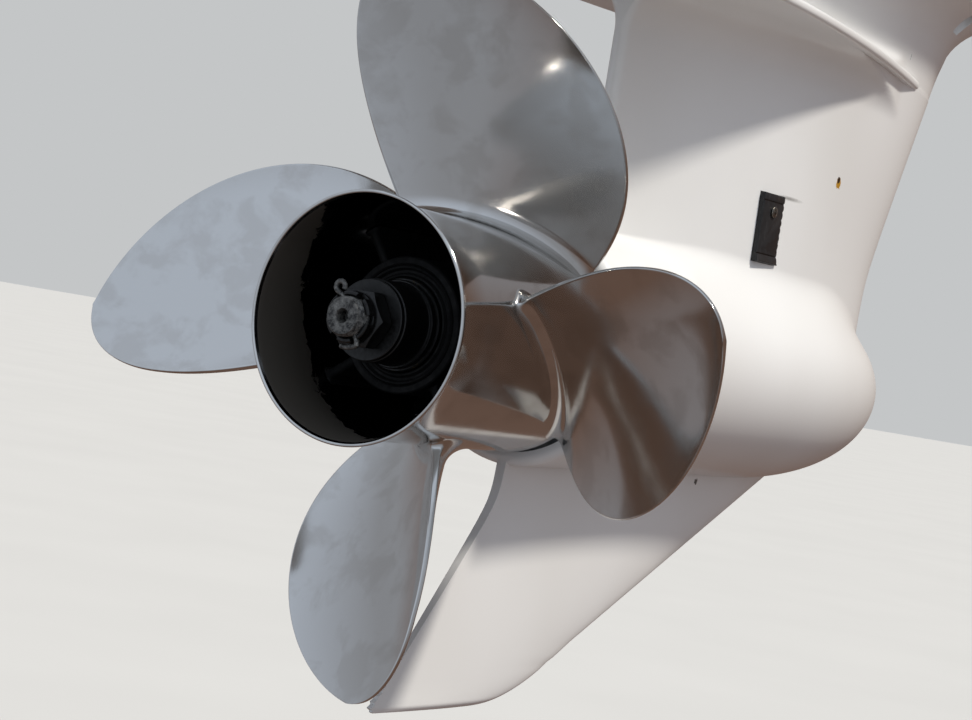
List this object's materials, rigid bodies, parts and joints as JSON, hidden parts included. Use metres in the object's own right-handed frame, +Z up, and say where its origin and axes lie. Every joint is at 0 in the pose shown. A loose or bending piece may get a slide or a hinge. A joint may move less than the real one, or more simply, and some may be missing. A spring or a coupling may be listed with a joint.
{
  "type": "outboard motor gearcase with stainless propeller",
  "caption": "White outboard gearcase: bolting flange, anti-ventilation plate, strut, torpedo and skeg, with a polished through-hub propeller that spins freely",
  "frame": {"origin": "on the flat top face of the flange that bolts to the mid-section, on the middle plane, 370 mm forward of the propeller barrel's rear rim", "axes": "+X starboard, +Y towards the bow and parallel to the propeller shaft, +Z up and square to the flange"},
  "size_m": [0.3696, 0.754, 0.575],
  "materials": {
    "white_enamel": "glossy white baked enamel on cast aluminium",
    "polished_stainless": "mirror-polished cast stainless steel with faint polishing swirls",
    "plain_stainless": "machined stainless steel, dull with salt and grease",
    "black_exhaust_paint": "glossy black paint, sooted by exhaust",
    "cast_aluminium": "as-cast aluminium with a dark coating",
    "black_plastic": "moulded black nylon, satin",
    "rubber": "moulded black rubber",
    "brass": "splined bronze sleeve, dull",
    "zinc": "cast sacrificial anode, rough and grey"
  },
  "bodies": {
    "gearcase": {"gearcase_casting": "white_enamel", "bearing_carrier": "cast_aluminium", "shaft_seal": "rubber", "intake_screen_starboard": "black_plastic", "intake_screen_port": "black_plastic", "screen_screw_starboard": "plain_stainless", "screen_screw_port": "plain_stainless", "drain_plug": "plain_stainless", "level_plug": "plain_stainless", "plate_anode": "zinc", "anode_bolt": "plain_stainless", "pump_base_plate": "plain_stainless", "water_pump_housing": "black_plastic", "water_tube_grommet": "rubber", "drive_shaft": "plain_stainless", "shift_rod": "plain_stainless", "flange_stud_1": "plain_stainless", "flange_stud_2": "plain_stainless", "flange_stud_3": "plain_stainless", "flange_stud_4": "plain_stainless", "flange_stud_5": "plain_stainless", "flange_dowel_1": "plain_stainless", "flange_dowel_2": "plain_stainless"},
    "propeller": {"outer_barrel": "polished_stainless", "blade_1": "polished_stainless", "blade_2": "polished_stainless", "blade_3": "polished_stainless", "blade_4": "polished_stainless", "inner_hub": "black_exhaust_paint", "rubber_bushing": "rubber", "drive_sleeve": "brass", "thrust_washer": "plain_stainless", "hub_spacer": "plain_stainless", "nut_washer": "plain_stainless", "propeller_shaft": "plain_stainless", "castle_nut": "plain_stainless", "cotter_pin": "plain_stainless"}
  },
  "joints": [
    {"name": "propeller_spin", "type": "hinge", "parent": "gearcase", "child": "propeller", "pos_m": [0, -0.37, -0.285], "axis": [0, 1, 0], "continuous": true}
  ]
}
